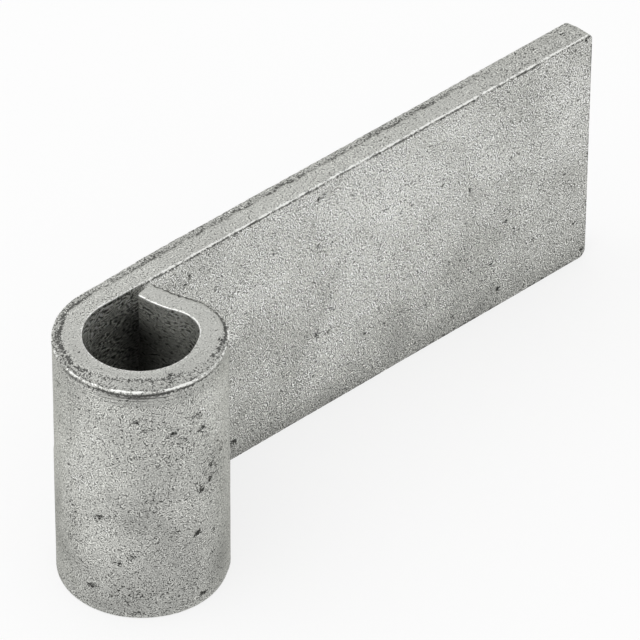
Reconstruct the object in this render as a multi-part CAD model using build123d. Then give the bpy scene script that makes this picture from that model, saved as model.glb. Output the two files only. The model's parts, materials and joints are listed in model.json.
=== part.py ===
"""Weld-on barrel hinge: one steel strap whose end is rolled round into an open eye for a pin.

The frame: the pin's axis is Z and the strap stands on its lower cut edge, which is z = 0.
The leaf runs towards +X. Its front face looks to -Y, and its back, the side that is
welded to a gate or a post, looks to +Y.
"""

from build123d import *
import os
from math import cos, radians, sin

# The flat bar, in millimetres, and its thickness where the rolling drew it thinner
bar_width = 45.0
bar_thickness = 5.2
rolled_thickness = 4.75
thinning_run = 16.0

# The pin that turns in the eye, and how much wider than the pin the eye was rolled
pin_diameter = 16.0
pin_play = 1.3

# The leaf: its reach from the pin's axis, and how far it stands back from the eye's round wall
leaf_reach = 105.0
leaf_setback = 0.6
leaf_corner_radius = 1.5

# How the bar turns round the pin, from the leaf to the tip, in degrees and millimetres
opening_turn = 75.0
round_turn = 135.0
shoulder_flat = 1.8
shoulder_turn = 84.0
tip_flat = 1.5
spring_back_radius = 12.0
spring_back_turn = 14.0
seam_gap = 0.7
tip_corner_radius = 0.8

# The shear that cut the bar left a sloping break along its outer edges
break_width = 2.0
break_drop = 0.4

# The round part of the eye's wall, and the easier bend that opens it towards the leaf
eye_radius = (pin_diameter + pin_play) / 2
leaf_line = eye_radius + leaf_setback
opening_radius = eye_radius + leaf_setback / (1 - cos(radians(opening_turn)))
opening_x = (opening_radius - eye_radius) * sin(radians(opening_turn))

# Headings of the bar's path, in degrees anticlockwise from +X: it sets out along the leaf to -X
leaf_heading = 180.0
round_end_heading = leaf_heading + opening_turn + round_turn - 360
tip_heading = round_end_heading + shoulder_turn
end_heading = tip_heading - spring_back_turn

# The shoulder's bend brings the wall as far from the axis on this side as it is all round
flat_share = cos(radians(round_end_heading)) / (1 - sin(radians(round_end_heading)))
shoulder_radius = eye_radius - shoulder_flat * flat_share


def along(heading):
    """The unit direction of a heading."""
    return Vector(cos(radians(heading)), sin(radians(heading)))


def roll_round(start, outward):
    """Take one side of the bar from the leaf round the pin to the tip, outward from the eye's wall."""
    opening = JernArc(start, along(leaf_heading), opening_radius + outward, opening_turn)
    eye = JernArc(opening @ 1, opening % 1, eye_radius + outward, round_turn)
    flat = Line(eye @ 1, eye @ 1 + along(round_end_heading) * shoulder_flat)
    shoulder = JernArc(flat @ 1, flat % 1, shoulder_radius + outward, shoulder_turn)
    tip = Line(shoulder @ 1, shoulder @ 1 + along(tip_heading) * tip_flat)
    spring_back = JernArc(tip @ 1, tip % 1, spring_back_radius - outward, -spring_back_turn)

    # The tip's end is square to its sides, and its outer corner stops the seam's gap short of the leaf
    corner_rise = (rolled_thickness - outward) * cos(radians(end_heading))
    end_y = leaf_line - seam_gap + corner_rise
    end_run = (end_y - (spring_back @ 1).Y) / sin(radians(end_heading))
    Line(spring_back @ 1, spring_back @ 1 + along(end_heading) * end_run)


def lies_on(edge, side):
    """True where an edge, seen from above, follows a side of the strap."""
    middle = edge @ 0.5
    return side.distance_to(Vector(middle.X, middle.Y)) < 1e-3


def stands_on(edge, corner):
    """True where an upright edge passes over a corner of the outline."""
    middle = edge @ 0.5
    return (Vector(middle.X, middle.Y) - corner).length < 1e-3


# The inner side: the leaf's front face, straight into the eye's wall
with BuildLine() as inner_line:
    leaf_front = Line((leaf_reach, leaf_line), (opening_x, leaf_line))
    roll_round(leaf_front @ 1, 0.0)
inner_side = inner_line.line

# The outer side: the leaf's back face, which eases in to the thinner wall of the roll
leaf_back_y = leaf_line + bar_thickness
rolled_back_y = leaf_line + rolled_thickness
with BuildLine() as outer_line:
    leaf_back = Line((leaf_reach, leaf_back_y), (opening_x + thinning_run, leaf_back_y))
    ease = thinning_run / 2
    thinning = Bezier(leaf_back @ 1, (opening_x + ease, leaf_back_y),
                      (opening_x + ease, rolled_back_y), (opening_x, rolled_back_y))
    roll_round(thinning @ 1, rolled_thickness)
outer_side = outer_line.line

# The strap: the outline raised to the bar's width, then its cut edges and corners
with BuildPart() as strap:
    with BuildSketch():
        with BuildLine():
            add(inner_side)
            add(outer_side)
            Line(inner_side @ 0, outer_side @ 0)
            Line(inner_side @ 1, outer_side @ 1)
        make_face()
    extrude(amount=bar_width)

    for end in (0, -1):
        cut_face = strap.faces().sort_by(Axis.Z)[end]
        outer_edges = [edge for edge in cut_face.edges() if lies_on(edge, outer_side)]
        chamfer(outer_edges, break_width, break_drop, reference=cut_face)

    tip_edges = [edge for edge in strap.edges().filter_by(Axis.Z)
                 if stands_on(edge, inner_side @ 1) or stands_on(edge, outer_side @ 1)]
    fillet(tip_edges, tip_corner_radius)

    leaf_end_edges = strap.edges().filter_by(Axis.Y).group_by(Axis.X)[-1]
    fillet(leaf_end_edges, leaf_corner_radius)

hinge_strap = strap.part
hinge_strap.label = "hinge_strap"

os.makedirs("parts", exist_ok=True)
export_step(hinge_strap, "parts/hinge_strap.step")

print("hinge_strap: volume in mm3", round(hinge_strap.volume), "- eye wall radius", round(eye_radius, 2),
      "- shoulder radius", round(shoulder_radius, 2))
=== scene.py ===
# %% [markdown]
# # A weld-on barrel hinge, from flat bar to finished steel
# This hinge is one steel strap. A smith or a press starts with flat bar that was sheared to
# width, and rolls one end of it round a former until it makes an open eye for the pin. The
# straight part, the leaf, is welded to a gate. We build it the same way: cut a flat bar,
# finish its edges while it is flat, roll it, and then give the steel its skin.

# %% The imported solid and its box
import json
import math
import random

import bmesh
import bpy
from mathutils import Matrix, Vector, kdtree, noise

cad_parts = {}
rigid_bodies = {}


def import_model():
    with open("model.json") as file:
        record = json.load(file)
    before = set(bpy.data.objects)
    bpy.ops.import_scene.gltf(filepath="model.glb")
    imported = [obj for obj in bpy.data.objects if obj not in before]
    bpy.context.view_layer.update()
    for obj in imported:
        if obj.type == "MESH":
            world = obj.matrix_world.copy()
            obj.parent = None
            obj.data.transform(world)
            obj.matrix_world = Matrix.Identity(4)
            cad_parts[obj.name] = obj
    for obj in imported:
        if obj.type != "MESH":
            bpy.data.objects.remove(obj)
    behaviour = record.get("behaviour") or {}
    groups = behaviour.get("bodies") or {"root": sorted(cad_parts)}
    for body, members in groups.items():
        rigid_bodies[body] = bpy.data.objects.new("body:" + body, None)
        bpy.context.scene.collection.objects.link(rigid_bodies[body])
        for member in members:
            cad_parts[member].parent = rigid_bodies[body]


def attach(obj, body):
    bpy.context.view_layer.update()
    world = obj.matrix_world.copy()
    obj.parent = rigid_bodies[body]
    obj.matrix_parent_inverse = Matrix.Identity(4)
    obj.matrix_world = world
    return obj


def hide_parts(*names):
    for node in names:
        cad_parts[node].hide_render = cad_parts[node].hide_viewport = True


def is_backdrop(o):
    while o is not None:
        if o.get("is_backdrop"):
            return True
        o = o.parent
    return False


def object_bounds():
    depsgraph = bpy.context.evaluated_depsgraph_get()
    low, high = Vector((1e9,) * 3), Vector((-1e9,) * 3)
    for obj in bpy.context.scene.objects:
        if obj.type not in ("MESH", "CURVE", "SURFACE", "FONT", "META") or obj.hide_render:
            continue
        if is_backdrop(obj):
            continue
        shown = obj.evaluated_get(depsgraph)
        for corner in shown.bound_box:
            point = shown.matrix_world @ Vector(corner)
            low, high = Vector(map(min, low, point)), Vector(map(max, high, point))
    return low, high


for leftover in list(bpy.data.objects):
    bpy.data.objects.remove(leftover)
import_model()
solid_low, solid_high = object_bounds()
print("solid box", [round(v, 5) for v in (*solid_low, *solid_high)])

# %% [markdown]
# ## The sizes that drive the shape
# Everything is in metres, so a millimetre gets a name of its own. The solid's box gives the
# bar's width, the leaf's reach and the eye's outside radius. Two thicknesses complete it,
# because rolling draws the bar a little thinner.

# %% Sizes
mm = 0.001
bar_width = solid_high.z - solid_low.z
bar_thickness = 5.2 * mm
rolled_thickness = 4.75 * mm
leaf_reach = solid_high.x
leaf_line = solid_high.y - bar_thickness
eye_radius = -solid_low.y - rolled_thickness

# The bends of the bar as (length along the eye's wall, turn in degrees), from leaf to tip
opening_turn = 75.0
opening_radius = eye_radius + (leaf_line - eye_radius) / (1 - math.cos(math.radians(opening_turn)))
opening_x = (opening_radius - eye_radius) * math.sin(math.radians(opening_turn))
round_turn = 135.0
shoulder_flat = 1.8 * mm
shoulder_turn = 84.0
# The flat carries the curve outward, so the bend after it is tighter and brings it back
shoulder_tightening = math.tan(math.radians(60.0))
shoulder_radius = eye_radius - shoulder_flat * shoulder_tightening
tip_flat = 1.5 * mm
spring_back_radius = 12.0 * mm
spring_back_turn = 14.0
seam_gap = 0.7 * mm


def bend(radius, turn):
    """A bend as its length along the wall and its turn."""
    return radius * math.radians(abs(turn)), turn


leaf_length = leaf_reach - opening_x
bends = [(leaf_length, 0.0), bend(opening_radius, opening_turn), bend(eye_radius, round_turn),
         (shoulder_flat, 0.0), bend(shoulder_radius, shoulder_turn), (tip_flat, 0.0),
         bend(spring_back_radius, -spring_back_turn)]
rolled_length = sum(length for length, turn in bends)
print("leaf", round(leaf_length / mm, 2), "mm, rolled part",
      round((rolled_length - leaf_length) / mm, 2), "mm")

# %% [markdown]
# ## The path that the bar takes
# A bar that is bent cold never changes its curve at a point, so the heading is averaged over
# a short stretch. Walking along that heading in small steps gives the path, and the walk ends
# where the tip comes within the seam's gap of the leaf.

# %% The path
step = 0.1 * mm
easing = 0.9 * mm
leaf_heading = 180.0


def raw_heading(s):
    """The heading in degrees at s along the wall, as the list of bends gives it."""
    heading = leaf_heading
    for length, turn in bends:
        share = min(max(s / length, 0.0), 1.0)
        heading += turn * share
        s -= length
    return heading


def heading_at(s):
    """The heading in radians, eased where one bend runs into the next."""
    spread = (-1.0, -0.5, 0.0, 0.5, 1.0)
    return math.radians(sum(raw_heading(s + easing * share) for share in spread) / len(spread))


def walk():
    """Points of the path a step apart, from the leaf's free end to the tip."""
    point = Vector((leaf_reach, leaf_line, 0.0))
    points = [point.copy()]
    s = 0.0
    while True:
        heading = heading_at(s + step / 2)
        point += Vector((math.cos(heading), math.sin(heading), 0.0)) * step
        points.append(point.copy())
        s += step
        corner_y = point.y - math.cos(heading) * rolled_thickness
        if s > rolled_length and corner_y > leaf_line - seam_gap:
            return points


path = walk()
bar_length = (len(path) - 1) * step


def on_path(s):
    """The place and the outward side of the bar at s along the wall."""
    index = min(max(int(s / step), 0), len(path) - 2)
    place = path[index].lerp(path[index + 1], s / step - index)
    heading = heading_at(s)
    return place, Vector((math.sin(heading), -math.cos(heading), 0.0))


print("bar length along the wall", round(bar_length / mm, 2), "mm; tip at",
      [round(v / mm, 2) for v in path[-1]])

# %% [markdown]
# ## The flat bar
# The bar's six faces are six grids, laid round a cube and sewn together where they meet. That
# is far quicker than cutting a cube hundreds of times, and it gives even rows of small squares
# that will follow the bend. The rows are then spaced closer together towards every edge,
# because that is where the shear left its marks.

# %% The flat bar
rows_along = 400
rows_through = 14
rows_across = 84
crowding_along, crowding_through, crowding_across = 0.5, 0.35, 0.68
same_place = 1e-4
MILL, SHEARED, EYE_WALL = 0, 1, 2


def quarter_turns(about_x, about_y):
    """A rotation by quarter turns, first about x and then about y."""
    first = Matrix.Rotation(about_x * math.pi / 2, 4, "X")
    return Matrix.Rotation(about_y * math.pi / 2, 4, "Y") @ first


def add_side(bar, turn, offset, rows, finish):
    """Add one face of the unit cube as a grid, with its finish."""
    grid = bmesh.ops.create_grid(bar, x_segments=rows[0], y_segments=rows[1], size=0.5,
                                 matrix=Matrix.Translation(offset) @ turn)
    for vert in grid["verts"]:
        for face in vert.link_faces:
            face.material_index = finish


def unit_bar():
    """A closed unit cube of grids: x runs along the bar, y through it and z across it."""
    bar = bmesh.new()
    long_side = (rows_along, rows_across)
    long_edge = (rows_along, rows_through)
    end = (rows_across, rows_through)
    for share in (0.0, 1.0):
        add_side(bar, quarter_turns(1, 0), (0.5, share, 0.5), long_side, MILL)
        add_side(bar, quarter_turns(0, 0), (0.5, 0.5, share), long_edge, SHEARED)
        add_side(bar, quarter_turns(0, 1), (share, 0.5, 0.5), end, SHEARED)
    bmesh.ops.remove_doubles(bar, verts=bar.verts[:], dist=same_place)
    bmesh.ops.recalc_face_normals(bar, faces=bar.faces[:])
    return bar


def crowd(share, crowding):
    """A share from 0 to 1 moved towards the nearer end."""
    return share - crowding * math.sin(2 * math.pi * share) / (2 * math.pi)


bar = unit_bar()
for vert in bar.verts:
    vert.co = (crowd(vert.co.x, crowding_along) * bar_length,
               crowd(vert.co.y, crowding_through) * bar_thickness,
               crowd(vert.co.z, crowding_across) * bar_width)
print("flat bar", len(bar.verts), "vertices,", len(bar.faces), "faces, open edges",
      sum(not edge.is_manifold for edge in bar.edges))

# %% [markdown]
# ## Rounded corners
# No edge of real steel is perfectly sharp. Each small edge of the bar becomes a quarter round:
# a point near an edge is pulled onto a little ball that rolls inside the edge. The corners of
# the leaf's end and of the tip are larger. There, the square corner of the grid is pressed
# into a round one, which keeps the rows even.

# %% Rounded corners
leaf_corner_radius = 1.5 * mm
tip_corner_radius = 0.8 * mm
edge_radius = 0.2 * mm
tiny = 1e-9


def on_rounded_box(point, size, radius):
    """A point on a box's skin, moved onto the same box with rounded edges."""
    inner = Vector([min(max(value, radius), limit - radius) for value, limit in zip(point, size)])
    out = point - inner
    return inner + out * (radius / out.length) if out.length > tiny else point


def press_corner(point, first, second, centre, radius):
    """Press the square corner round centre, in the plane of two axes, into a round one."""
    across, up = point[first] - centre[0], point[second] - centre[1]
    reach = max(abs(across), abs(up))
    share = reach / math.hypot(across, up) if reach > tiny else 1.0
    point[first] = centre[0] + across * share
    point[second] = centre[1] + up * share


def round_bar(point):
    """Round the small edges first, then the corners of the leaf's end and of the tip."""
    point = on_rounded_box(point, (bar_length, bar_thickness, bar_width), edge_radius)
    for centre_z, sign in ((leaf_corner_radius, -1), (bar_width - leaf_corner_radius, 1)):
        if point.x < leaf_corner_radius and (point.z - centre_z) * sign > 0:
            press_corner(point, 0, 2, (leaf_corner_radius, centre_z), leaf_corner_radius)
    tip_x = bar_length - tip_corner_radius
    for centre_y, sign in ((tip_corner_radius, -1), (bar_thickness - tip_corner_radius, 1)):
        if point.x > tip_x and (point.y - centre_y) * sign > 0:
            press_corner(point, 0, 1, (tip_x, centre_y), tip_corner_radius)
    return point


for vert in bar.verts:
    vert.co = round_bar(vert.co)
print("radii: edges", edge_radius / mm, "mm, leaf's corners", leaf_corner_radius / mm,
      "mm, tip's corners", tip_corner_radius / mm, "mm")

# %% [markdown]
# ## The sheared edges
# The two long edges of the bar were sheared and then rolled, and each of these left marks.
# The marks could be carved one by one, but they run all the way along the bar. So every mark
# here is a rule of three distances: along the bar, through it, and down from the cut. The
# first helpers make a mark fade softly, and wander so that it never looks drawn with a ruler.
# The next ones say which part of the bar a point is on.

# %% How marks wander and fade
ragged_swing = 0.8
patchy_from, patchy_fade = 0.3, 0.3
octave_drop, octave_scale = 0.8, 2.1


def smooth(value):
    """A share held between 0 and 1 that starts and ends gently."""
    share = min(max(value, 0.0), 1.0)
    return share * share * (3 - 2 * share)


def ridge(value, centre, width):
    """A soft ridge that is 1 at its centre."""
    return math.exp(-((value - centre) / width) ** 2)


def ragged(s, size, seed):
    """A share from 0 to 1 that wanders along the bar."""
    share = 0.5 + ragged_swing * noise.noise(Vector((s / size, seed, 0.5)))
    return min(max(share, 0.0), 1.0)


def wavering(s, least, swing, size, seed):
    """A strength that wanders along the bar, from least up to least + swing."""
    return least + swing * ragged(s, size, seed)


def patchy(s, size, seed):
    """A share along the bar that is mostly 0 or 1, with short changes between."""
    return smooth((ragged(s, size, seed) - patchy_from) / patchy_fade)


def bumps(point, size, octaves):
    """Noise from about -1 to 1 whose largest bumps are as wide as size."""
    return noise.fractal(point / size, octave_drop, octave_scale, octaves)


print("a ridge is", ridge(0.0, 0.0, 1.0), "at its centre and", round(ridge(1.0, 0.0, 1.0), 2),
      "at one width from it")

# %% Where each mark lies
front_along, front_width = leaf_length + 22 * mm, 9 * mm
seam_along = leaf_reach - path[-1].x - rolled_thickness / 2
eye_start, eye_fade = leaf_length + 2 * mm, 6 * mm
tip_start, tip_fade = leaf_length + 34 * mm, 8 * mm
edge_overlap = 1.3


def in_eye(s):
    """A share that is 0 on the leaf and 1 on the rolled part."""
    return smooth((s - eye_start) / eye_fade)


def by_tip(s):
    """A share that is 1 on the last part of the roll, up to the tip."""
    return smooth((s - tip_start) / tip_fade)


def near_edge(distance, width):
    """A share that is 1 at an edge and has faded out a little past the width."""
    return smooth(edge_overlap - distance / width)


print("along the bar, the eye starts at", round(eye_start / mm, 1), "mm, the barrel's front is at",
      round(front_along / mm, 1), "mm and the tip's part starts at", round(tip_start / mm, 1), "mm")

# %% [markdown]
# ## The burr and the painted shadows beside it
# Rolling squeezes the inner edge of the bar into a thin burr, and the outer edge of the
# eye into a lip. Both stand proud, so tumbling polishes them, and they are painted near white
# as a highlight on top of that. Just beside them a thin dark line is painted as their shadow.
# The rolls also slid under the lip and left fine rub marks. They are worked out as values first,
# because most of them are too thin for the shape to show. Each mark adds its own number to the seed, so
# that no two wander alike.

# %% The burr, its painted shadows and the rub marks
edge_width, lip_width, cut_width = 0.26 * mm, 0.40 * mm, 0.3 * mm
tip_waver_size, tip_edge_gain = 0.8 * mm, 1.3
burr_reach, tip_burr_reach, tip_burr_gain = 0.38 * mm, 0.85 * mm, 0.1
burr_waver, lip_waver = (0.52, 0.48, 1.0 * mm), (0.05, 0.95, 1.8 * mm)
under_lip_ridge, under_lip_waver = (0.85 * mm, 0.36 * mm), (0.5, 0.8, 1.3 * mm)
under_lip_least, under_lip_front = 0.25, 0.9
under_burr_ridge, under_burr_size = (0.50 * mm, 0.26 * mm), 3.0 * mm
under_burr_least, under_burr_swing = 0.52, 0.35
inside_lip_ridge, inside_lip_waver = (0.66 * mm, 0.20 * mm), (0.3, 0.6, 1.2 * mm)
rub_start, rub_reach, rub_overlap = 1.0 * mm, 3.6 * mm, 1.2


def edge_marks(s, outer, height, seed):
    """The burr, painted shade and rub values of a point, by its distances from the outer face and the
    cut.
    """
    inner = bar_thickness - outer
    rolled_part = in_eye(s)
    at_front = ridge(s, front_along, front_width)
    tip_waver = by_tip(s) * ragged(s, tip_waver_size, seed + 1)
    on_inner = near_edge(inner, edge_width * (1.0 + tip_edge_gain * tip_waver))
    on_outer = near_edge(outer, edge_width)
    burr = on_inner * near_edge(height, burr_reach + tip_burr_reach * tip_waver)
    burr *= wavering(s, *burr_waver, seed + 2) + tip_burr_gain * by_tip(s)
    lip = near_edge(outer, lip_width) * near_edge(height, lip_width)
    lip *= rolled_part * wavering(s, *lip_waver, seed + 3)
    # Painted shadows: thin dark lines under the lip, under the leaf's burr and inside the lip, where the
    # proud edges cast shade
    under_lip = on_outer * rolled_part * ridge(height, *under_lip_ridge)
    under_lip *= under_lip_least + under_lip_front * at_front
    under_lip *= wavering(s, *under_lip_waver, seed + 4)
    under_burr = on_inner * (1 - rolled_part) * ridge(height, *under_burr_ridge)
    under_burr *= under_burr_least + under_burr_swing * patchy(s, under_burr_size, seed + 5)
    inside_lip = near_edge(height, cut_width) * rolled_part * ridge(outer, *inside_lip_ridge)
    inside_lip *= wavering(s, *inside_lip_waver, seed + 6)
    rub = on_outer * rolled_part * at_front
    rub *= smooth(height / rub_start) * smooth(rub_overlap - height / rub_reach)
    return max(burr, lip), max(under_lip, under_burr, inside_lip), rub


print("burr", edge_width / mm, "mm wide on the leaf, lip", lip_width / mm, "mm")

# %% [markdown]
# ## The land and the break
# A shear first cuts cleanly through part of the bar's thickness and leaves a smooth band, the
# land. The rest tears, and leaves a rough break that slopes away towards the outer face. Where
# the eye bends most the land was stretched thin. Dark chips of scale lie thickest just past
# the land, where the metal tore deepest.

# %% The land and the break
land_share, land_narrowing, narrow_width = 0.61, 0.30, 7 * mm
land_recovery, recovery_start, recovery_fade = 0.14, front_along + 9 * mm, 6 * mm
slow_waver, slow_size = 0.08, 2.6 * mm
quick_waver, quick_size = 0.05, 0.8 * mm
torn_fade = 0.10
end_torn, end_calm, end_fade = 0.4, 12 * mm, 30 * mm
chips_least, chips_peak, peak_place, peak_width = 0.45, 0.5, 0.09, 0.10
chips_waver, leaf_chips = (0.6, 0.45, 6 * mm), 0.88
front_clean, clean_along, clean_width = 0.2, front_along + 3 * mm, 6 * mm
end_chips, end_chips_reach, end_chips_fade = 0.28, 28 * mm, 14 * mm
end_chips_depth, end_chips_rise = 0.3 * mm, 0.5 * mm


def land_edge(s, seed):
    """The share of the thickness where the land ends. It is narrow where the eye bends most."""
    edge = land_share - land_narrowing * ridge(s, front_along, narrow_width)
    edge += land_recovery * smooth((s - recovery_start) / recovery_fade)
    edge += slow_waver * noise.noise(Vector((s / slow_size, seed, 0.0)))
    return edge + quick_waver * noise.noise(Vector((s / quick_size, seed, 4.0)))


def torn_share(s, past_land):
    """How torn the cut is past the land. It is calmer towards the leaf's end."""
    past_end = smooth((s - end_calm) / end_fade)
    return smooth(past_land / torn_fade) * (end_torn + (1 - end_torn) * past_end)


def torn_chips(s, y, past_land, torn, seed):
    """How many dark chips the cut has: most of them just past the land, and a few by the leaf's end."""
    chips = torn * (chips_least + chips_peak * ridge(past_land, peak_place, peak_width))
    chips *= wavering(s, *chips_waver, seed + 9)
    chips *= leaf_chips + (1 - leaf_chips) * in_eye(s)
    chips *= 1 - front_clean * ridge(s, clean_along, clean_width)
    by_end = smooth((end_chips_reach - s) / end_chips_fade)
    return max(chips, end_chips * by_end * smooth((y - end_chips_depth) / end_chips_rise))


print("land", land_share, "of the thickness, and", round(land_edge(front_along, 0.0), 2), "at the front")

# %% [markdown]
# ## One small push for every point
# The rules now come together. Each point of the flat bar gets one push: down where the cut
# tore, up on the burr, and outward on the lip. A push keeps the even rows of the grid, which
# cutting would spoil. The marks go with the points as attributes, so that the finish can
# follow the shape. The lower edge gets only a share of it all, as the cleaner of the two cuts.

# %% The push on every point
break_drop, break_step, break_roughness = 0.38 * mm, 0.4, 0.13 * mm
rough_size, rough_squash, rough_octaves = 1.0 * mm, 1.4, 4
edge_reach, chips_reach = 3.0 * mm, 0.5 * mm
burr_height, burr_lean = 0.08 * mm, 0.5
lip_height, lip_from, lip_band = 0.13 * mm, 0.85, 0.15
lip_ridge, lip_rise_waver = (0.25 * mm, 0.28 * mm), (0.5, 0.6, 1.9 * mm)
groove_ridge, groove_waver = (1.0 * mm, 0.35 * mm), (0.4, 0.6, 1.3 * mm)
lower_edge_shade_width, lower_edge_shade_size = 0.42 * mm, 2.5 * mm
end_line_dark, end_line_ridge, end_line_size = 0.7, (0.15 * mm, 0.25 * mm), 2.0 * mm
upper_seed, lower_seed, lower_share = 7.0, 31.0, 0.25


def lip_push(s, share, height, seed):
    """The lip and its groove on the outside of the eye, as a push outward."""
    lip = ridge(height, *lip_ridge) * wavering(s, *lip_rise_waver, seed + 3)
    groove = ridge(height, *groove_ridge) * wavering(s, *groove_waver, seed + 4)
    return smooth((share - lip_from) / lip_band) * in_eye(s) * lip_height * (lip - groove - 1.0)


def shear_marks(flat):
    """The push on a point of the flat bar, and its break, burr, painted shade and rub values."""
    s, y, z = flat
    share = y / bar_thickness
    upper = z > bar_width / 2
    height = bar_width - z if upper else z
    seed = upper_seed if upper else lower_seed
    strength = 1.0 if upper else lower_share
    land = land_edge(s, seed)
    torn = torn_share(s, share - land)
    chips = torn_chips(s, y, share - land, torn, seed) * smooth(1 - height / chips_reach)
    burr, shade_line, rub = edge_marks(s, bar_thickness - y, height, seed)
    burr = min(burr, 1.0)
    shade_line *= strength
    # Painted shade along the leaf's lower edge, where it meets the floor
    if not upper:
        at_foot = (1.0 - in_eye(s)) * ridge(height, 0.0, lower_edge_shade_width)
        shade_line = max(shade_line, at_foot * ragged(s, lower_edge_shade_size, seed))
    # A thin dark line along the leaf's end
    shade_line = max(shade_line, end_line_dark * ridge(s, *end_line_ridge) * ragged(z, end_line_size, seed))
    rough = bumps(Vector((s, y * rough_squash, seed * mm)), rough_size, rough_octaves)
    slope = break_step * torn + (1 - break_step) * smooth((share - land) / (1.0 - land))
    rise = burr_height * (burr - 1.0) - break_drop * slope - torn * break_roughness * (0.5 - rough)
    rise *= smooth(1 - height / edge_reach) * strength * (1 if upper else -1)
    outward = lip_push(s, share, height, seed) * strength - burr_lean * burr_height * burr
    values = (chips * strength, burr * strength, min(shade_line, 1.0), rub * strength)
    return Vector((0.0, outward, rise)), values


middle_cut = Vector((front_along, bar_thickness, bar_width))
print("push at the barrel's front", [round(v / mm, 2) for v in shear_marks(middle_cut)[0]], "mm")

# %% Pushing the points
mark_layers = [bar.verts.layers.float.new(name) for name in ("break", "burr", "shade_line", "rub")]
rolled_layer = bar.verts.layers.float.new("rolled")
pit_layer = bar.verts.layers.float.new("pit")
dull_layer = bar.verts.layers.float.new("dull_and_crease_shade")
place_layer = bar.verts.layers.float_vector.new("flat_place")
rolled_fade = 9 * mm
greatest_push = 0.0
for vert in bar.verts:
    vert[place_layer] = vert.co
    vert[rolled_layer] = smooth((vert.co.x - leaf_length) / rolled_fade)
    push, marks = shear_marks(vert.co)
    vert.co += push
    greatest_push = max(greatest_push, push.length)
    for layer, mark_value in zip(mark_layers, marks):
        vert[layer] = mark_value
print("greatest push", round(greatest_push / mm, 2), "mm")

# %% [markdown]
# ## Dull and pale patches, and painted shade in the crease
# Stones don't reach every place alike, and hands and oil leave their marks, so bare steel is
# never one even tone. Each patch here is a soft spot given as (along, up, half width,
# half height, how dull), in millimetres on the flat bar, where a minus makes it paler. The
# crease where the tip meets the leaf, deep in the eye, gets painted shade and a little grime.

# %% Patches
leaf_patches = (
    (17, 42, 12, 5, 0.14), (17, 36, 7, 8, 0.10), (37, 20, 6, 12, 0.10), (69, 14, 8, 9, 0.08),
    (54, 10, 7, 6, -0.14), (45, 30, 3, 9, -0.16), (57, 43, 4, 3, 0.15), (86, 22, 11, 20, 0.14),
    (24, 4, 5, 4, 0.10), (4, 43, 6, 6, 0.10), (38, 6, 16, 6, 0.06), (29, 41, 5, 4, -0.18),
    (3, 33, 4, 4, -0.14), (46, 7, 3, 5, -0.14), (19, 20, 9, 6, -0.06), (15, 3, 3, 3, 0.16),
    (60, 1, 6, 3, 0.14), (69, 24, 4, 5, -0.06))
eye_patches = (
    (118, 38, 6, 8, 0.10), (133, 37, 3, 4, -0.16), (127.5, 34, 6, 16, 0.12), (126, 22, 4, 8, 0.08),
    (122, 11, 5, 6, -0.20), (135.5, 5, 3, 6, 0.20), (128, 8, 2.5, 7, 0.14),
    (133, 42.5, 9, 2.5, 0.14), (121, 35, 4, 5, -0.12), (139, 14, 3, 5, -0.10))
inner_skin = 0.2 * bar_thickness
foot_band, foot_band_height = 0.22, 3.0 * mm
foot_band_fade = 9 * mm
crease_shade_strength, crease_shade_start, crease_shade_fade = 0.85, 1.0 * mm, 7 * mm
seam_shade_width, tip_shade_width = 5 * mm, 9 * mm


def dull_and_crease_shade(flat):
    """How dull the skin is at a point of the flat bar, with painted shade in the crease."""
    inside = flat.y < inner_skin
    patches = leaf_patches if inside else eye_patches
    spots = sum(amount * ridge(flat.x / mm, along, half_width) * ridge(flat.z / mm, up, half_height)
                for along, up, half_width, half_height, amount in patches)
    on_leaf = smooth((leaf_length - flat.x) / foot_band_fade + 1.0)
    spots += foot_band * on_leaf * ridge(flat.z, 0.0, foot_band_height)
    if not inside:
        return spots
    # Painted shade in the crease by the seam and under the tip, growing darker further from the upper
    # edge, with a little grime
    depth = smooth((bar_width - flat.z - crease_shade_start) / crease_shade_fade)
    by_seam = ridge(flat.x, seam_along, seam_shade_width)
    under_tip = ridge(flat.x, bar_length, tip_shade_width)
    in_crease = max(by_seam, under_tip)
    return spots + crease_shade_strength * depth * in_crease


for vert in bar.verts:
    vert[dull_layer] = dull_and_crease_shade(vert[place_layer])
print(len(leaf_patches) + len(eye_patches), "patches")

# %% [markdown]
# ## Rolling it
# Every point of the flat bar has a place along it, so rolling is one rule: go to that place on
# the path, and step outward by the point's depth in the bar. The bar keeps its full thickness
# on the leaf, is drawn thinner round the eye, and is thinnest at the tip, where the rolls bit
# hardest.

# %% Rolling
# The thickness in millimetres at places along the bar
thickness_keys = ((leaf_length - 16 * mm, 5.20), (leaf_length, 4.75), (leaf_length + 14 * mm, 4.72),
                  (leaf_length + 28 * mm, 4.72), (leaf_length + 42 * mm, 4.45),
                  (leaf_length + 50 * mm, 4.30), (bar_length, 4.35))


def thickness_at(s):
    """The bar's thickness in metres at s, eased between the keys."""
    earlier = thickness_keys[0]
    for key in thickness_keys:
        if s < key[0]:
            share = smooth((s - earlier[0]) / max(key[0] - earlier[0], tiny))
            return (earlier[1] + (key[1] - earlier[1]) * share) * mm
        earlier = key
    return earlier[1] * mm


def rolled(flat):
    """A point of the flat bar, after the bar is rolled."""
    place, outward = on_path(flat.x)
    depth = flat.y * thickness_at(flat.x) / bar_thickness
    return place + outward * depth + Vector((0.0, 0.0, flat.z))


for vert in bar.verts:
    vert.co = rolled(vert.co)
for face in bar.faces:
    along = sum(vert[place_layer].x for vert in face.verts) / len(face.verts)
    through = sum(vert[place_layer].y for vert in face.verts) / len(face.verts)
    if face.material_index == MILL and through < inner_skin and along > seam_along:
        face.material_index = EYE_WALL
bmesh.ops.reverse_faces(bar, faces=bar.faces[:])
print("signed volume", round(bar.calc_volume(signed=True) / mm ** 3), "cubic mm")
for axis, axis_name in enumerate("xyz"):
    reaches = [vert.co[axis] / mm for vert in bar.verts]
    print(axis_name, "from", round(min(reaches), 2), "to", round(max(reaches), 2), "mm")
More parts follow.
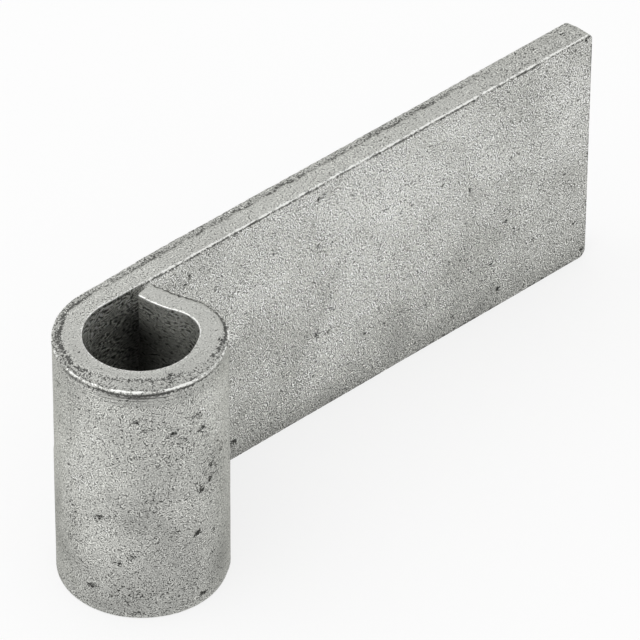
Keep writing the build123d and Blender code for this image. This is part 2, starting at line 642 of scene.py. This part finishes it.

# %% [markdown]
# ## Dents, pits and a skin that isn't flat
# Tumbled steel looks flat until light grazes it. The skin sinks and rises by a very gentle
# swell, then each pit is pressed in where a stone or a flake of scale left it. The large pits
# are listed as (along, up, radius), and small ones are strewn with a seeded draw so
# that they fall in the same places every time. A k-d tree finds the points near each pit
# without a search through the whole mesh.

# %% Where the pits are
leaf_pits = (
    (86.5, 41.0, 0.8), (59.5, 42.0, 0.9), (69.0, 36.5, 0.8), (59.5, 32.5, 0.9), (77.5, 32.5, 0.8),
    (59.8, 15.3, 1.3), (57.5, 14.7, 0.9), (49.5, 10.0, 0.9), (46.5, 26.5, 0.8), (77.5, 3.4, 1.0),
    (18.5, 16.5, 1.0), (16.5, 14.0, 0.8), (20.0, 3.5, 1.0), (30.0, 3.0, 0.9), (34.0, 18.5, 0.8),
    (1.3, 43.9, 0.9), (1.0, 1.6, 1.0), (0.6, 17.6, 0.6), (26.7, 27.0, 0.7))
eye_pits = (
    (125.7, 38.7, 0.9), (132.0, 37.5, 1.1), (133.0, 34.5, 1.1), (129.5, 35.5, 1.0),
    (135.0, 30.0, 0.9), (136.2, 26.8, 1.1), (134.2, 25.8, 1.1), (134.0, 23.3, 1.0),
    (132.7, 22.5, 1.0), (127.8, 29.2, 0.8), (127.4, 23.0, 0.9), (121.8, 19.1, 1.2),
    (132.2, 14.6, 1.1), (134.6, 12.9, 0.9), (125.2, 12.0, 0.9), (120.8, 4.7, 1.1),
    (123.3, 3.9, 0.8), (132.7, 1.8, 1.0), (129.5, 16.6, 0.8), (123.6, 10.6, 0.8))
# On the upper cut, as (along, through, radius)
rim_pits = ((130.1, 2.3, 0.7), (129.6, 3.6, 0.6), (139.4, 3.8, 0.7), (153.6, 4.3, 0.5),
            (148.3, 4.1, 0.6), (4.0, 3.0, 0.7), (62.0, 3.9, 0.6))
# Where flecks gather on the barrel, as (along, up, half width, half height, amount)
fleck_zones = ((134.8, 25.0, 2.2, 8.0, 0.24), (118.2, 17.0, 1.5, 8.0, 0.28),
               (126.0, 4.5, 7.0, 2.5, 0.18), (131.0, 33.0, 3.0, 4.0, 0.18),
               (121.0, 10.0, 3.0, 4.0, 0.12))
pits_placed = len(leaf_pits) + len(eye_pits) + len(rim_pits)
print(pits_placed, "placed pits and", len(fleck_zones), "flecked zones")

# %% Pressing the dents and pits in
swell, swell_size = 0.045 * mm, 12 * mm
ripple, ripple_size = 0.01 * mm, 1.7 * mm
skin_octaves = 2
pit_depth, pit_share = 0.12 * mm, 0.76
outer_skin = 0.8 * bar_thickness
dent_along, dent_up, dent_radius = 117.6 * mm, 2.5 * mm, 2.2 * mm
dent_depth, dent_dark = 0.35 * mm, 0.15
random.seed(45)
strewn_pits = 300
strewn_radius, strewn_depth, strewn_dark = (0.35, 0.75), (0.1, 0.5), (0.2, 0.7)

near_points = kdtree.KDTree(len(bar.verts))
for vert in bar.verts:
    near_points.insert(vert[place_layer], vert.index)
near_points.balance()
bar.normal_update()
bar.verts.ensure_lookup_table()
normals = [vert.normal.copy() for vert in bar.verts]


def press(along, up, through, radius, depth, dark):
    """Press a round pit into the skin, and darken it."""
    for place, index, reach in near_points.find_range(Vector((along, through, up)), radius):
        share = (1 - (reach / radius) ** 2) ** 2
        vert = bar.verts[index]
        vert.co -= normals[index] * depth * share
        vert[pit_layer] = max(vert[pit_layer], dark * share)


for vert, normal in zip(bar.verts, normals):
    flat = vert[place_layer]
    sink = swell * (0.5 + 0.5 * bumps(flat, swell_size, skin_octaves))
    sink += ripple * (0.5 + 0.5 * bumps(flat, ripple_size, skin_octaves))
    vert.co -= normal * sink
for through, pits in ((0.0, leaf_pits), (bar_thickness, eye_pits)):
    for along, up, radius in pits:
        press(along * mm, up * mm, through, radius * pit_share * mm, pit_depth, 1.0)
for along, through, radius in rim_pits:
    press(along * mm, bar_width, through * mm, radius * mm, pit_depth, 1.0)
for _ in range(strewn_pits):
    along, up = random.uniform(0.0, bar_length), random.uniform(0.0, bar_width)
    radius = random.uniform(*strewn_radius) * mm
    through = random.choice((0.0, bar_thickness))
    depth = random.uniform(*strewn_depth) * pit_depth
    press(along, up, through, radius, depth, random.uniform(*strewn_dark))
for vert in bar.verts:
    if vert[place_layer].y > outer_skin:
        along, through, up = vert[place_layer] / mm
        for centre, height, half_width, half_height, amount in fleck_zones:
            zone = amount * ridge(along, centre, half_width) * ridge(up, height, half_height)
            vert[pit_layer] = max(vert[pit_layer], zone)
press(dent_along, dent_up, bar_thickness, dent_radius, dent_depth, dent_dark)
pitted = sum(vert[pit_layer] > 0.5 for vert in bar.verts)
print(pits_placed, "placed pits and", strewn_pits, "strewn, which darken", pitted, "points")

# %% [markdown]
# ## The finished piece
# The bmesh becomes an ordinary mesh, and its attributes go with it. The object stays at the
# origin, because every point already has its place. The faces are shaded smooth, since real
# geometry rounds the edges and nothing has to look faceted.

# %% The finished piece
mesh = bpy.data.meshes.new("rolled_strap")
bar.to_mesh(mesh)
bar.free()
strap = bpy.data.objects.new("rolled_strap", mesh)
bpy.context.scene.collection.objects.link(strap)
for polygon in mesh.polygons:
    polygon.use_smooth = True
print("strap of", len(mesh.polygons), "faces, with", len(mesh.attributes), "attributes")

# %% [markdown]
# ## Effects that every finish shares
# All the steel here came out of the same tumbling barrel, so the same effects appear in every
# finish. Each effect is a node group with named sockets. It puts out plain values, and each
# material decides what to do with them. A few short helpers come first, so that the groups
# stay easy to read.

# %% Node helpers
red_share, blue_share = 0.995, 0.95


def plug(tree, node, inputs):
    """Set or link the inputs of a node by name or number."""
    for key, value in inputs.items():
        if isinstance(value, bpy.types.NodeSocket):
            tree.links.new(value, node.inputs[key])
        else:
            node.inputs[key].default_value = value


def add(tree, kind, inputs=None, **settings):
    """Add a node, set its properties, and plug in its inputs."""
    node = tree.nodes.new("ShaderNode" + kind)
    for name, value in settings.items():
        setattr(node, name, value)
    plug(tree, node, inputs or {})
    return node


def sums(tree, operation, first, second):
    """One sum on two values or sockets, as its output."""
    return add(tree, "Math", {0: first, 1: second}, operation=operation).outputs[0]


def vector_sums(tree, operation, first, second):
    """One sum on two vectors, as its output."""
    return add(tree, "VectorMath", {0: first, 1: second}, operation=operation).outputs[0]


def scaled(tree, vector, factor):
    """A vector or a colour times a value."""
    return add(tree, "VectorMath", {0: vector, 3: factor}, operation="SCALE").outputs[0]


def remap(tree, value, low, high, to_low=0.0, to_high=1.0):
    """A value mapped from one range to another, and held there."""
    return add(tree, "MapRange", {"Value": value, "From Min": low, "From Max": high,
                                  "To Min": to_low, "To Max": to_high}).outputs["Result"]


def between(tree, share, at_zero, at_one):
    """The value that a share from 0 to 1 picks between two values."""
    return remap(tree, share, 0.0, 1.0, at_zero, at_one)


def blend_colour(tree, share, first, second):
    """Two colours mixed by a share. The node's colour sockets are its numbers 6 and 7."""
    return add(tree, "Mix", {0: share, 6: first, 7: second}, data_type="RGBA").outputs[2]


def grey(value, blue=blue_share):
    """A grey with a little less blue, as bare steel has."""
    return value * red_share, value, value * blue, 1.0


print("a middle grey is", [round(v, 3) for v in grey(0.5)])

# %% Group helpers
def new_group(name, inputs, outputs):
    """An empty node group with float sockets, and vector ones named Vector or Normal."""
    group = bpy.data.node_groups.new(name, "ShaderNodeTree")
    for in_out, names in (("INPUT", inputs), ("OUTPUT", outputs)):
        for socket in names:
            kind = "NodeSocketVector" if socket in ("Vector", "Normal") else "NodeSocketFloat"
            group.interface.new_socket(name=socket, in_out=in_out, socket_type=kind)
    start, end = group.nodes.new("NodeGroupInput"), group.nodes.new("NodeGroupOutput")
    return group, start.outputs, end


def use_group(tree, group, inputs):
    """Place a group in a material, as its outputs."""
    node = add(tree, "Group", node_tree=group)
    plug(tree, node, inputs)
    return node.outputs


def sized_noise(tree, start, vector, distortion=0.0, detail=1.0):
    """Noise whose bumps are as wide as the group's Size input."""
    scale = sums(tree, "DIVIDE", 1.0, start["Size"])
    return add(tree, "TexNoise", {"Vector": vector, "Scale": scale, "Detail": detail,
                                  "Distortion": distortion}).outputs[0]


print("helpers for groups ready")

# %% [markdown]
# ## The grain of tumbled steel
# Stones bruise steel into fine, worm-like ridges, and light leaves each one pale on one side
# and dark on the other. The group paints that light and shade into the colour. It reads one noise at two
# places a very short step apart, and the difference is the slope between them. The step must lie in the
# skin and must not always point the same way, so it is the cross product of the skin's normal and a slow
# noise. The deepest slopes get a little more painted shade.

# %% The grain
wander_share, stride_share = 0.3, 3.0
slope_limit = 0.2
deep_from, deep_to, deep_amount = -0.11, -0.20, 0.4
relief_from, relief_to = 0.3, 0.7

grain_group, start, end = new_group("grain_with_painted_relief", ("Vector", "Normal", "Size"), ("Value", "Height"))
wander_scale = sums(grain_group, "DIVIDE", wander_share, start["Size"])
wander = add(grain_group, "TexNoise", {"Vector": start["Vector"], "Scale": wander_scale, "Detail": 0.0})
wander = vector_sums(grain_group, "SUBTRACT", wander.outputs["Color"], (0.5, 0.5, 0.5))
across = vector_sums(grain_group, "CROSS_PRODUCT", start["Normal"], wander)
stride = scaled(grain_group, across, sums(grain_group, "MULTIPLY", start["Size"], stride_share))
beside = vector_sums(grain_group, "ADD", start["Vector"], stride)
here = sized_noise(grain_group, start, start["Vector"], distortion=0.3)
there = sized_noise(grain_group, start, beside, distortion=0.3)
slope = sums(grain_group, "SUBTRACT", here, there)
# Painted light and shade: one side of each ridge is painted lit, the other shaded, and the deepest
# slopes darker still
painted_lit_side = remap(grain_group, slope, -slope_limit, slope_limit)
painted_deep_shade = remap(grain_group, slope, deep_from, deep_to, 0.0, deep_amount)
plug(grain_group, end, {"Value": sums(grain_group, "SUBTRACT", painted_lit_side, painted_deep_shade),
                        "Height": remap(grain_group, here, relief_from, relief_to)})
print("grain of", len(grain_group.nodes), "nodes")

# %% [markdown]
# ## Marks that break up
# Torn steel, the painted shade lines and the burr never show as clean bands. The shape carries how
# strong each mark is, and this group breaks the mark into chips: fine noise is added to the
# amount, and only what rises past a threshold is kept. Where the amount is nothing, there is
# no mark at all. The dark pits work in a similar way. Specks appear wherever their noise is
# very high, and a pressed pit lowers that bar, so its middle is dark and its rim is ragged.

# %% Broken marks and dark pits
chip_swing, chip_from, chip_to = 2.2, 0.42, 0.62
least_amount, sure_amount = 0.05, 0.2
speck_squash, speck_from, speck_to = 1.7, 0.795, 0.82
pit_lift = 0.2

broken_group, start, end = new_group("broken_marks", ("Vector", "Size", "Amount"), ("Mask",))
chips = sized_noise(broken_group, start, start["Vector"], distortion=0.6)
chips = sums(broken_group, "MULTIPLY", sums(broken_group, "SUBTRACT", chips, 0.5), chip_swing)
kept = remap(broken_group, sums(broken_group, "ADD", chips, start["Amount"]), chip_from, chip_to)
present = remap(broken_group, start["Amount"], least_amount, sure_amount)
plug(broken_group, end, {"Mask": sums(broken_group, "MULTIPLY", kept, present)})

pits_group, start, end = new_group("dark_pits", ("Vector", "Size", "Amount"), ("Mask",))
squashed = add(pits_group, "Mapping", {"Vector": start["Vector"], "Scale": (1.0, 1.0, speck_squash)})
specks = sized_noise(pits_group, start, squashed.outputs[0], distortion=1.0)
lifted = sums(pits_group, "ADD", specks, sums(pits_group, "MULTIPLY", start["Amount"], pit_lift))
plug(pits_group, end, {"Mask": remap(pits_group, lifted, speck_from, speck_to)})
print("broken marks of", len(broken_group.nodes), "nodes, dark pits of", len(pits_group.nodes))

# %% [markdown]
# ## Clouds, painted shade at the foot, and rub marks
# Three slow effects finish the set. Clouds are faint pale and dull areas, many millimetres
# wide. Painted shade darkens the skin towards the lower edge. Rub marks are
# thin lines under the lip, where the rolls slid on the bar, so that noise is stretched along
# the bar.

# %% Clouds, painted shade at the foot, and rub marks
cloud_from, cloud_to = 0.3, 0.7
line_stretch, line_from, line_to = 20.0, 0.45, 0.60

clouds_group, start, end = new_group("dull_clouds", ("Vector", "Size"), ("Value",))
clouds = sized_noise(clouds_group, start, start["Vector"], distortion=0.8, detail=2.0)
plug(clouds_group, end, {"Value": remap(clouds_group, clouds, cloud_from, cloud_to)})

# Painted shade: the skin grows darker towards the lower edge
foot_shade_group, start, end = new_group("painted_foot_shade", ("Vector", "Size", "Reach"), ("Mask",))
height = add(foot_shade_group, "SeparateXYZ", {0: start["Vector"]}).outputs[2]
height = sums(foot_shade_group, "DIVIDE", height, start["Reach"])
waves = sized_noise(foot_shade_group, start, start["Vector"])
height = sums(foot_shade_group, "ADD", height, sums(foot_shade_group, "SUBTRACT", waves, 0.5))
plug(foot_shade_group, end, {"Mask": between(foot_shade_group, height, 1.0, 0.0)})

rub_group, start, end = new_group("rub_lines", ("Vector", "Size"), ("Mask",))
drawn_out = add(rub_group, "Mapping", {"Vector": start["Vector"], "Scale": (1 / line_stretch, 1.0, 1.0)})
lines = sized_noise(rub_group, start, drawn_out.outputs[0])
plug(rub_group, end, {"Mask": remap(rub_group, lines, line_from, line_to)})
slow_groups = (clouds_group, foot_shade_group, rub_group)
print("clouds, painted_shade and rub marks of", [len(group.nodes) for group in slow_groups], "nodes")

# %% [markdown]
# ## How the marks colour the steel
# The shape told each point how torn, burred, rubbed, pitted and dulled it is, and where shade
# is painted. These helpers turn that into three answers: where the steel is dark, how strongly
# the grain shows, and how bright the skin is. The grain is calmer on the part that was rolled,
# because the rolls pressed it flat, and calmest under the lip. It is livelier on the torn break.

# %% Marks to values
speck_size, torn_chip, shade_line_chip, burr_chip = 0.42 * mm, 0.32 * mm, 0.35 * mm, 0.45 * mm
cloud_size, patch_size, rub_size, wave_size = 14 * mm, 4 * mm, 0.40 * mm, 11 * mm
pit_gain = 1.6
torn_dark, shade_line_dark = 0.85, 0.85
calm_patch, lively_patch = 0.7, 1.3
rolled_calm, rubbed_calm, torn_liveliness = 0.52, 0.35, 0.6
rub_tone, darkest_tone = 0.22, 0.2
palest, dullest = -0.2, 0.9


def mark(tree, name):
    """A value that the shape carries."""
    return add(tree, "Attribute", attribute_name=name).outputs["Fac"]


def broken(tree, place, name, chip_size):
    """A mark of the shape, broken into chips."""
    chips = {"Vector": place, "Size": chip_size, "Amount": mark(tree, name)}
    return use_group(tree, broken_group, chips)["Mask"]


def marks_and_painted_shade(tree, place, pit_amount):
    """Where the steel is dark: specks and pits, torn chips, and the painted shade lines."""
    amount = sums(tree, "ADD", sums(tree, "MULTIPLY", mark(tree, "pit"), pit_gain), pit_amount)
    pits = use_group(tree, pits_group, {"Vector": place, "Size": speck_size, "Amount": amount})["Mask"]
    torn = sums(tree, "MULTIPLY", broken(tree, place, "break", torn_chip), torn_dark)
    shade_line = sums(tree, "MULTIPLY", broken(tree, place, "shade_line", shade_line_chip), shade_line_dark)
    return sums(tree, "MAXIMUM", sums(tree, "MAXIMUM", pits, torn), shade_line)


def grain_strength(tree, place, grain_tone):
    """How strongly the grain shows at each place."""
    patches = use_group(tree, clouds_group, {"Vector": place, "Size": patch_size})["Value"]
    strength = between(tree, mark(tree, "rolled"), grain_tone, rolled_calm * grain_tone)
    strength = sums(tree, "MULTIPLY", between(tree, patches, calm_patch, lively_patch), strength)
    strength = sums(tree, "ADD", strength, sums(tree, "MULTIPLY", mark(tree, "break"), torn_liveliness))
    return sums(tree, "MULTIPLY", strength, between(tree, mark(tree, "rub"), 1.0, rubbed_calm))


def skin_tone(tree, grain, strength, flat, foot_reach, foot_tone, rolled_tone):
    """How bright the skin is: the grain's painted relief, the painted shade at the foot, the rolled
    part, the rub marks, and the patches with the crease's painted shade.
    """
    swing = sums(tree, "MULTIPLY", sums(tree, "SUBTRACT", grain, 0.5), strength)
    tone = sums(tree, "MAXIMUM", sums(tree, "ADD", 1.0, swing), darkest_tone)
    # Painted shade towards the lower edge
    foot = use_group(tree, foot_shade_group, {"Vector": flat, "Size": wave_size, "Reach": foot_reach})["Mask"]
    rub = use_group(tree, rub_group, {"Vector": flat, "Size": rub_size})["Mask"]
    rub = sums(tree, "MULTIPLY", rub, mark(tree, "rub"))
    for layer in (between(tree, foot, 1.0, foot_tone),
                  between(tree, mark(tree, "rolled"), 1.0, rolled_tone),
                  between(tree, rub, 1.0, rub_tone),
                  remap(tree, mark(tree, "dull_and_crease_shade"), palest, dullest, 1 - palest, 1 - dullest)):
        tone = sums(tree, "MULTIPLY", tone, layer)
    return tone


print("specks", round(speck_size / mm, 2), "mm, clouds", round(cloud_size / mm, 2), "mm")

# %% [markdown]
# ## The three finishes
# The mill face is the rolled skin of the bar. The sheared edge is smoother on the land, and
# torn and dark on the break. The eye's wall never met the stones, and its grain is drawn out
# along the bar. All three are bare metal with painted shade towards the lower edge. What differs
# is how pale they are, how rough, and how deep the grain is. The noise that paints the grain's lit
# and shaded sides also lifts the bump, and dark marks sink into it, so that light and paint agree.

# %% Finishes
# Near black for pits, chips and the painted shade lines; near white for the burr's painted highlight
edge_tint, dark_pit_and_shade, burr_polish_and_highlight = grey(0.7), grey(0.05), grey(0.97, 0.97)
roughness_swing, dark_sink = 0.05, 1.5


# foot_reach and foot_tone set how far up the painted shade at the foot reaches, and how dark it gets
def bare_steel(name, pale, dull, roughness, grain_size, grain_depth, grain_tone, pit_amount,
               stretch=1.0, foot_reach=32 * mm, foot_tone=0.72, rolled_tone=1.0):
    """Bare steel with grain, pits, clouds and the marks that the shape carries."""
    material = bpy.data.materials.new(name)
    material.use_nodes = True
    tree = material.node_tree
    coordinates = add(tree, "TexCoord").outputs
    place, facing = coordinates["Object"], coordinates["Normal"]
    flat = add(tree, "Attribute", attribute_name="flat_place").outputs["Vector"]
    lay = place
    if stretch > 1.0:
        # A drawn-out grain is laid on the flat bar, where the whole wall faces along y
        lay = add(tree, "Mapping", {"Vector": flat, "Scale": (1.0 / stretch, 1.0, 1.0)}).outputs[0]
        facing = (0.0, 1.0, 0.0)
    grain = use_group(tree, grain_group, {"Vector": lay, "Normal": facing, "Size": grain_size})
    clouds = use_group(tree, clouds_group, {"Vector": place, "Size": cloud_size})["Value"]
    dark = marks_and_painted_shade(tree, place, pit_amount)
    strength = grain_strength(tree, place, grain_tone)
    tone = skin_tone(tree, grain["Value"], strength, flat, foot_reach, foot_tone, rolled_tone)
    skin = scaled(tree, blend_colour(tree, clouds, grey(dull), grey(pale)), tone)
    # Pits and torn chips, and the painted shadows beside the burr and lip, darken the skin
    skin = blend_colour(tree, dark, skin, dark_pit_and_shade)
    # The burr and lip are painted near white, a painted highlight on top of their polish
    skin = blend_colour(tree, broken(tree, place, "burr", burr_chip), skin, burr_polish_and_highlight)
    rough = between(tree, grain["Height"], roughness + roughness_swing, roughness - roughness_swing)
    hollow = sums(tree, "SUBTRACT", grain["Height"], sums(tree, "MULTIPLY", dark, dark_sink))
    bump = add(tree, "Bump", {"Height": hollow, "Distance": grain_depth}).outputs[0]
    shader = tree.nodes["Principled BSDF"]
    plug(tree, shader, {"Metallic": 1.0, "Specular Tint": edge_tint})
    plug(tree, shader, {"Base Color": skin, "Roughness": rough, "Normal": bump})
    return material


finishes = [
    bare_steel("mill_face_steel", pale=0.745, dull=0.545, roughness=0.48, grain_size=0.25 * mm,
               grain_depth=0.016 * mm, grain_tone=2.4, pit_amount=0.75, rolled_tone=0.965),
    bare_steel("sheared_edge_steel", pale=0.62, dull=0.55, roughness=0.42, grain_size=0.26 * mm,
               grain_depth=0.01 * mm, grain_tone=0.9, pit_amount=0.48),
    # The eye's wall gets stronger painted shade towards the bottom of the eye
    bare_steel("eye_wall_steel", pale=0.98, dull=0.52, roughness=0.5, grain_size=0.45 * mm,
               grain_depth=0.03 * mm, grain_tone=1.9, pit_amount=0.78, stretch=2.0,
               foot_reach=60 * mm, foot_tone=0.6)]
for material in finishes:
    mesh.materials.append(material)
print("finishes", [material.name for material in finishes])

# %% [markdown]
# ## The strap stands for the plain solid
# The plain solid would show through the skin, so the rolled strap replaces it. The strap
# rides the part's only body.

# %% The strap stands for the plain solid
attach(strap, "root")
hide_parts("hinge_strap")
print(strap.name, "stands for the plain solid")

# %% [markdown]
# ## Floor and light
# Bare steel only looks like steel when it has something pale to reflect, so the strap stands
# on a pale floor under a large, even sky. One soft lamp, high on the left, gives the barrel
# its form. Part of the floor's look is a white glow that only the camera and the steel's
# reflections see. It keeps the backdrop pale without turning the floor into a lamp, and the
# strap still drops a soft shadow on the rest.

# %% Floor
floor_half, floor_tone, floor_roughness, glow_share = 4.0, 0.92, 0.9, 0.75
floor_mesh = bpy.data.meshes.new("floor")
floor_grid = bmesh.new()
bmesh.ops.create_grid(floor_grid, x_segments=1, y_segments=1, size=floor_half)
floor_grid.to_mesh(floor_mesh)
floor_grid.free()
floor = bpy.data.objects.new("floor", floor_mesh)
bpy.context.scene.collection.objects.link(floor)
floor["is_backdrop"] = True

pale_floor = bpy.data.materials.new("pale_floor")
pale_floor.use_nodes = True
tree = pale_floor.node_tree
plain = tree.nodes["Principled BSDF"]
floor_colour = (floor_tone, floor_tone, floor_tone, 1.0)
plug(tree, plain, {"Base Color": floor_colour, "Roughness": floor_roughness})
rays = add(tree, "LightPath").outputs
direct = sums(tree, "ADD", rays["Is Camera Ray"], rays["Is Glossy Ray"])
either = {0: direct, 1: rays["Is Transmission Ray"]}
seen = add(tree, "Math", either, operation="ADD", use_clamp=True).outputs[0]
glow = add(tree, "Emission").outputs[0]
glowing = sums(tree, "MULTIPLY", seen, glow_share)
mixed = add(tree, "MixShader", {0: glowing, 1: plain.outputs[0], 2: glow})
plug(tree, tree.nodes["Material Output"], {"Surface": mixed.outputs[0]})
floor_mesh.materials.append(pale_floor)
print("floor", 2 * floor_half, "m wide")

# %% Light
sky_strength = 0.88
lamp_offset, lamp_size, lamp_power = Vector((-0.45, 0.15, 0.62)), 0.8, 1.5

world = bpy.data.worlds.new("studio")
bpy.context.scene.world = world
world.use_nodes = True
sky = world.node_tree.nodes["Background"]
plug(world.node_tree, sky, {"Color": (1.0, 1.0, 1.0, 1.0), "Strength": sky_strength})

middle = (solid_low + solid_high) / 2
lamp = bpy.data.lights.new("key", "AREA")
lamp.size = lamp_size
lamp.energy = lamp_power
lamp_object = bpy.data.objects.new("key", lamp)
lamp_object.location = middle + lamp_offset
lamp_object.rotation_euler = (-lamp_offset).to_track_quat("-Z", "Y").to_euler()
bpy.context.scene.collection.objects.link(lamp_object)
print("lamp", round(lamp_offset.length, 2), "m from the strap")

# %% [markdown]
# ## The camera
# A long lens far away keeps the bar's edges almost parallel, which is how small hardware is
# usually shown. The camera is placed by the direction it looks from, as a turn round the
# strap and a height above the floor, and then shifted sideways and up until the whole strap
# sits in the frame.

# %% Camera
azimuth, elevation, roll = math.radians(-43.068), math.radians(38.254), math.radians(0.339)
distance = 1.0910
sideways, upward = 27.36 * mm, 37.53 * mm
focal_length, sensor_width = 397.0, 36.0

back = Vector((math.sin(azimuth) * math.cos(elevation), -math.cos(azimuth) * math.cos(elevation),
               math.sin(elevation)))
right = Vector((0.0, 0.0, 1.0)).cross(back).normalized()
up = back.cross(right)
tilted_right = right * math.cos(roll) + up * math.sin(roll)
tilted_up = up * math.cos(roll) - right * math.sin(roll)
camera = bpy.data.cameras.new("camera")
camera.lens = focal_length
camera.sensor_width = sensor_width
camera_object = bpy.data.objects.new("camera", camera)
turn = Matrix((tilted_right, tilted_up, back)).transposed()
camera_place = tilted_right * sideways + tilted_up * upward + back * distance
camera_object.matrix_world = Matrix.Translation(camera_place) @ turn.to_4x4()
bpy.context.scene.collection.objects.link(camera_object)
bpy.context.scene.camera = camera_object
bpy.context.scene.view_settings.view_transform = "Standard"
print("camera at", [round(value, 3) for value in camera_place])

# %% [markdown]
# ## The boxes
# The strap has to fit inside the plain solid's box, because other parts are placed by it. Both
# boxes are printed.

# %% The boxes and the last line
dressed_low, dressed_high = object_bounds()
for low, high, name in ((solid_low, solid_high, "solid"), (dressed_low, dressed_high, "dressed")):
    print(name, "box", [round(v / mm, 3) for v in (*low, *high)], "mm")
